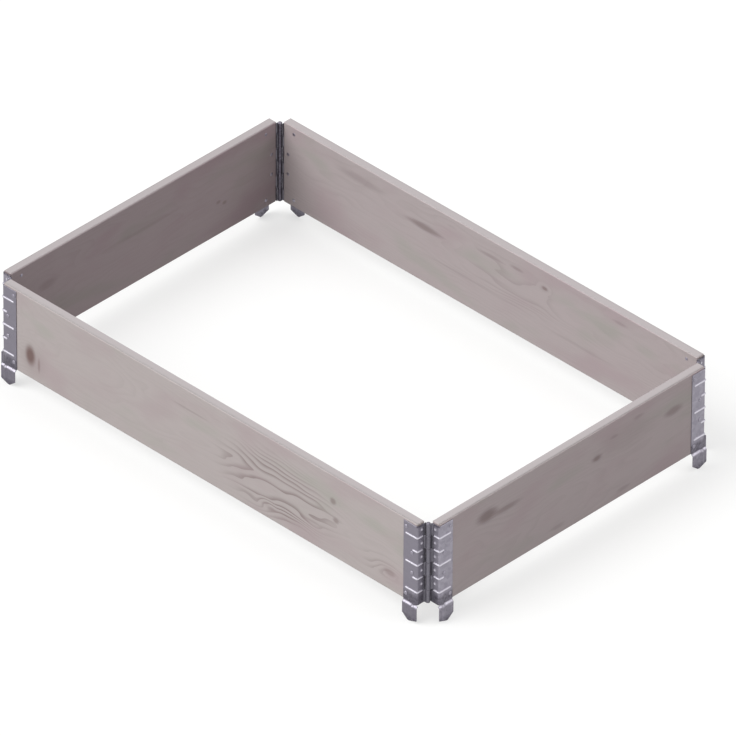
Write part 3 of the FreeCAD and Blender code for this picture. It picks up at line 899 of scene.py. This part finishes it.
def kept_quads(up, first_slot):
    """Which quads of the sheet are there: rows go up the leaf, columns along the strip.

    Above the foot a row ends where its curl or its tongue does, and at the end
    wall in the slit between two knuckles. Below it a row is as wide as the leg,
    and the first one is cut back beside the bend, as the real sheet is notched.
    """
    low, high = up[:-1, None], up[1:, None]
    left, right = STRIP[None, :-1], STRIP[None, 1:]
    middle = (low + high) / 2
    slot = np.clip((middle / PITCH).astype(int), 0, SLOTS - 1)
    nearest = np.round(middle / PITCH)
    in_slit = (np.abs(middle - nearest * PITCH) < KNUCKLE_GAP / 2) & (nearest < SLOTS)
    end = np.where(slot % 2 == first_slot, STRIP_END, TONGUE_END)
    end = np.where(in_slit, WALL_END, end)
    leg_end = np.where(high > LEAF_FOOT - HAIR, FLAT, LEAF_END - LEG_NEAR)
    end = np.where(middle < LEAF_FOOT, leg_end, end)
    start = np.where(middle < LEAF_FOOT, LEAF_END - LEG_FAR, 0)
    return (right <= end + HAIR) & (left >= start - HAIR)


def leaf_grid(first_slot):
    """Every point of a leaf as x, d and h, which quads are there, and how much
    wear and painted highlight it gets.

    The strip follows its bends, curled in the leaf's own slots and straight on
    in the other leaf's, with the relief added outwards. Below the foot the leg's
    outline takes over.
    """
    slits = [number * PITCH + side * KNUCKLE_GAP / 2
             for number in range(1, SLOTS) for side in (-1, 1)]
    up = stations([-LEG_DROP, TIP_NEAR[1] - LEG_DROP, TIP_FAR[1] - LEG_DROP,
                   LEAF_FOOT - JOGGLE_DROP, LEAF_FOOT, *slits, LEAF_TOP], STEP)
    slot = np.clip((up / PITCH).astype(int), 0, SLOTS - 1)
    own = (slot % 2 == first_slot)[:, None, None]
    curled, curled_out = strip_line(STRIP, CURLED)
    bent, bent_out = strip_line(STRIP, BENT)
    line = np.where(own, curled, bent)
    out = np.where(own, curled_out, bent_out)
    place, h = STRIP[None, :], up[:, None]
    height, wear_and_highlight = relief(place, h)
    leg_x, leg_d = leg_outline(place, h)
    below = h < LEAF_FOOT - HAIR
    x = np.where(below, leg_x, line[..., 0] + out[..., 0] * height)
    d = np.where(below, leg_d + height, line[..., 1] + out[..., 1] * height)
    return x, d, h + 0 * x, kept_quads(up, first_slot), wear_and_highlight


def leaf_lips(first_slot):
    """Where each tongue runs on behind the next knuckle of its own leaf, one quad each.

    x is the end wall's, d goes from under the strap to the tongue's edge, and h
    from the slot's end into the neighbouring slot, which shuts out the light.
    """
    ends = np.arange(1, SLOTS)
    tongue_above = (ends - 1) % 2 == first_slot
    low = ends * PITCH - np.where(tongue_above, LIP, KNUCKLE_GAP / 2)
    high = ends * PITCH + np.where(tongue_above, KNUCKLE_GAP / 2, LIP)
    h = np.stack((low, low, high, high), -1)
    d = np.array((LIP_START, PIN_GAP, LIP_START, PIN_GAP)) + 0 * h
    return WALL + 0 * h, d, h


print("points up and along a leaf:", leaf_grid(0)[0].shape)

# %% Dust and painted shade on a leaf
# Each fades in from the first to the second distance.
BY_PIN = (12.5 * MM, 5.5 * MM)
PAST_INSIDE = (-5.0 * MM, -1.0 * MM)
# Painted shade darkens the pocket above the ledge, the leg's tip and the tops in the corner, and
# the whole leg is darker.
POCKET, POCKET_SHARE = (29.0 * MM, 17.0 * MM), 0.75
LEG_SHARE = 0.32
TIP_SHADE, TIP_SHARE = (-22.0 * MM, -36.0 * MM), 0.45
TOP_SHADE = (LEAF_TOP - 5.0 * MM, LEAF_TOP - 1.0 * MM)


def fade(value, none, full):
    """0 at none, 1 at full, and a smooth step between."""
    return smooth_step((value - none) / (full - none))


def leaf_dust(x, d, h):
    """Where pale dust sits: by the pin above the foot, and on the outer side of it.

    It is the product of two fades, by the distance from the pin's line and by
    d - x, which grows from the collar's inside to its outer corner.
    """
    return fade(np.hypot(x, d), *BY_PIN) * fade(d - x, *PAST_INSIDE) * (h > LEAF_FOOT)


def leaf_painted_shade(x, d, h):
    """Where painted shade darkens the leaf: the highest of four shares counts.

    They are the inner side of the knuckles, the pocket above the leg's ledge,
    the leg with more on its tip, and the tops of the parts in the corner.
    """
    above, below = h > LEAF_FOOT - HAIR, h < LEAF_FOOT - JOGGLE_DROP
    # Painted shade on the inner side by the pin, where the corner is in shade.
    inside = fade(np.hypot(x, d), *BY_PIN) * (1 - fade(d - x, *PAST_INSIDE)) * (h > LEAF_FOOT)
    pocket = POCKET_SHARE * fade(h, *POCKET) * above
    leg = (LEG_SHARE + TIP_SHARE * fade(h, *TIP_SHADE)) * below
    top = fade(h, *TOP_SHADE) * (x < WALL + BEND)
    return np.max((inside, pocket, leg, top), axis=0)


print("dust on a knuckle's outer side:", float(leaf_dust(0, CURL, LEAF_TOP / 2)))

# %% Leaves


def make_leaf(side, end, material):
    """One stamped leaf: the sheet and its lips, given the sheet's thickness inwards."""
    corner = corner_frame(side, end)
    flip = is_right_handed(corner)
    first_slot = 0 if side in LONG_SIDES else 1
    x, d, h, keep, wear_and_highlight = leaf_grid(first_slot)
    lips = leaf_lips(first_slot)
    faces = [grid_faces(*x.shape, keep=keep, flip=flip)]
    faces += [grid_faces(2, 2, flip=flip, first=x.size + 4 * number)
              for number in range(len(lips[0]))]
    x, d, h = (np.append(sheet, lip) for sheet, lip in zip((x, d, h), lips))
    marks = {"wear_and_highlight": np.append(wear_and_highlight, 0 * lips[0]),
             "painted_shade": leaf_painted_shade(x, d, h), "dust": leaf_dust(x, d, h)}
    piece = make_mesh(f"{side}_{end}_hinge_leaf", in_corner(corner, x, d, h),
                      np.concatenate(faces), material, marks)
    wall = piece.modifiers.new("sheet", "SOLIDIFY")
    wall.thickness = SHEET
    wall.offset = -1
    wall.use_even_offset = True
    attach(piece, f"{side}_side")
    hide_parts(f"{side}_{end}_leaf")
    return piece


# The long boards' leaves take the zinc darkened as painted shade.
leaves = [make_leaf(side, end, shaded_long_steel if side in LONG_SIDES else short_steel)
          for side, end in LEAVES]
print("leaves:", len(leaves), "with", len(leaves[0].data.polygons), "quads each")

# %% [markdown]
# ## Rivets and pins
#
# A rivet is a low dome outside, a shank, and a flatter tail that was upset on
# the inner face. A pin is a length of wire with a low head. Both could be
# cylinders and spheres pushed into one another, which leaves seams. Here each
# is one profile turned about its axis, so its skin is a single smooth sheet.

# %% Turned pieces
AROUND = 32
CAP_STATIONS = 7


def turned(profile, centre, axis, across, first=0):
    """Points and quads of a profile of (radius, height) turned about an axis.

    A point is centre + height * axis + radius * (cos t * across + sin t * third).
    The profile starts and ends on the axis, where its quads close to a point.
    """
    radius, height = np.array(profile, dtype=float).T
    angle = np.arange(AROUND) * 2 * math.pi / AROUND
    axis, across = np.array(axis, dtype=float), np.array(across, dtype=float)
    third = np.cross(axis, across)
    spoke = np.cos(angle)[:, None] * across + np.sin(angle)[:, None] * third
    points = centre + height[:, None, None] * axis + radius[:, None, None] * spoke
    faces = grid_faces(len(radius), AROUND, wrap=True, flip=True, first=first)
    return points.reshape(-1, 3), faces


def rounded_cap(radius, base, top):
    """The rising quarter of an ellipse from (radius, base) to the axis at top, as (r, h)."""
    angle = np.linspace(0, math.pi / 2, CAP_STATIONS)
    return list(zip(radius * np.cos(angle), base + (top - base) * np.sin(angle)))


def make_turned(name, profile, places, axis, across, material, body, node):
    """One piece of the same turned profile at every place, riding on a body."""
    points, faces, count = [], [], 0
    for centre in places:
        more, quads = turned(profile, centre, axis, across, count)
        points.append(more)
        faces.append(quads)
        count += len(more)
    piece = make_mesh(name, np.concatenate(points), np.concatenate(faces), material)
    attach(piece, body)
    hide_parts(node)
    return piece


print("points on a quarter of a cap:", len(rounded_cap(1, 0, 1)))

# %% Rivets
RIVET_HEAD = 4.5 * MM
RIVET_HEAD_HEIGHT = 1.8 * MM
RIVET_SHANK = 2.5 * MM
RIVET_TAIL = 3.75 * MM
RIVET_TAIL_HEIGHT = 1.0 * MM
INNER_FACE = 3.0 * MM
BOARD_MIDDLE = 97.5 * MM
# How far from the pin a pair of rivets sits, and how far above and below the
# board's middle.
OUTER_RIVETS = (36.0 * MM, 80.0 * MM)
INNER_RIVETS = (20.0 * MM, 24.0 * MM)


def rivet_profile():
    """A rivet from the tip of its tail to the crown of its head, as (r, h) from the pin's line."""
    tail = rounded_cap(RIVET_TAIL, -INNER_FACE, RIVET_TAIL_HEIGHT - INNER_FACE)
    tail = [(r, -h) for r, h in tail[::-1]]
    head = rounded_cap(RIVET_HEAD, SKIN, SKIN + RIVET_HEAD_HEIGHT)
    return tail + [(RIVET_SHANK, INNER_FACE), (RIVET_SHANK, SKIN)] + head


def make_rivets(side, end, material):
    """The four rivets of a leaf, two near its free edge and two nearer the pin."""
    corner = corner_frame(side, end)
    places = [(x, BOARD_MIDDLE + sign * rise)
              for x, rise in (OUTER_RIVETS, INNER_RIVETS) for sign in (1, -1)]
    x, h = np.array(places).T
    return make_turned(
        f"{side}_{end}_rivet_set", rivet_profile(), in_corner(corner, x, 0 * x, h),
        corner[2], corner[3], material, f"{side}_side", f"{side}_{end}_rivets")


rivets = [make_rivets(side, end, rivet_steel) for side, end in LEAVES]
print("rivet sets:", len(rivets))

# %% Pins
PIN_RADIUS = 3.0 * MM
PIN_ROUNDING = 1.0 * MM
PIN_HIGH = 190.3 * MM
PIN_HEAD = 4.3 * MM
PIN_HEAD_HEIGHT = 1.8 * MM


def make_pin(side, end, material):
    """A hinge pin: a rod with a rounded foot and a low domed head on the top knuckle."""
    corner = corner_frame(side, end)
    foot = [(r, -h) for r, h in rounded_cap(PIN_RADIUS, -PIN_ROUNDING, 0)]
    head = rounded_cap(PIN_HEAD, PIN_HIGH, PIN_HIGH + PIN_HEAD_HEIGHT)
    profile = foot[::-1] + [(PIN_RADIUS, PIN_HIGH)] + head
    return make_turned(f"{side}_{end}_hinge_pin", profile, [corner[0]], (0, 0, 1), (1, 0, 0),
                       material, f"{side}_side", f"{side}_{end}_pin")


pins = [make_pin(side, end, shaded_pin_steel) for side in LONG_SIDES for end in NEIGHBOURS[side]]
print("pins:", len(pins))
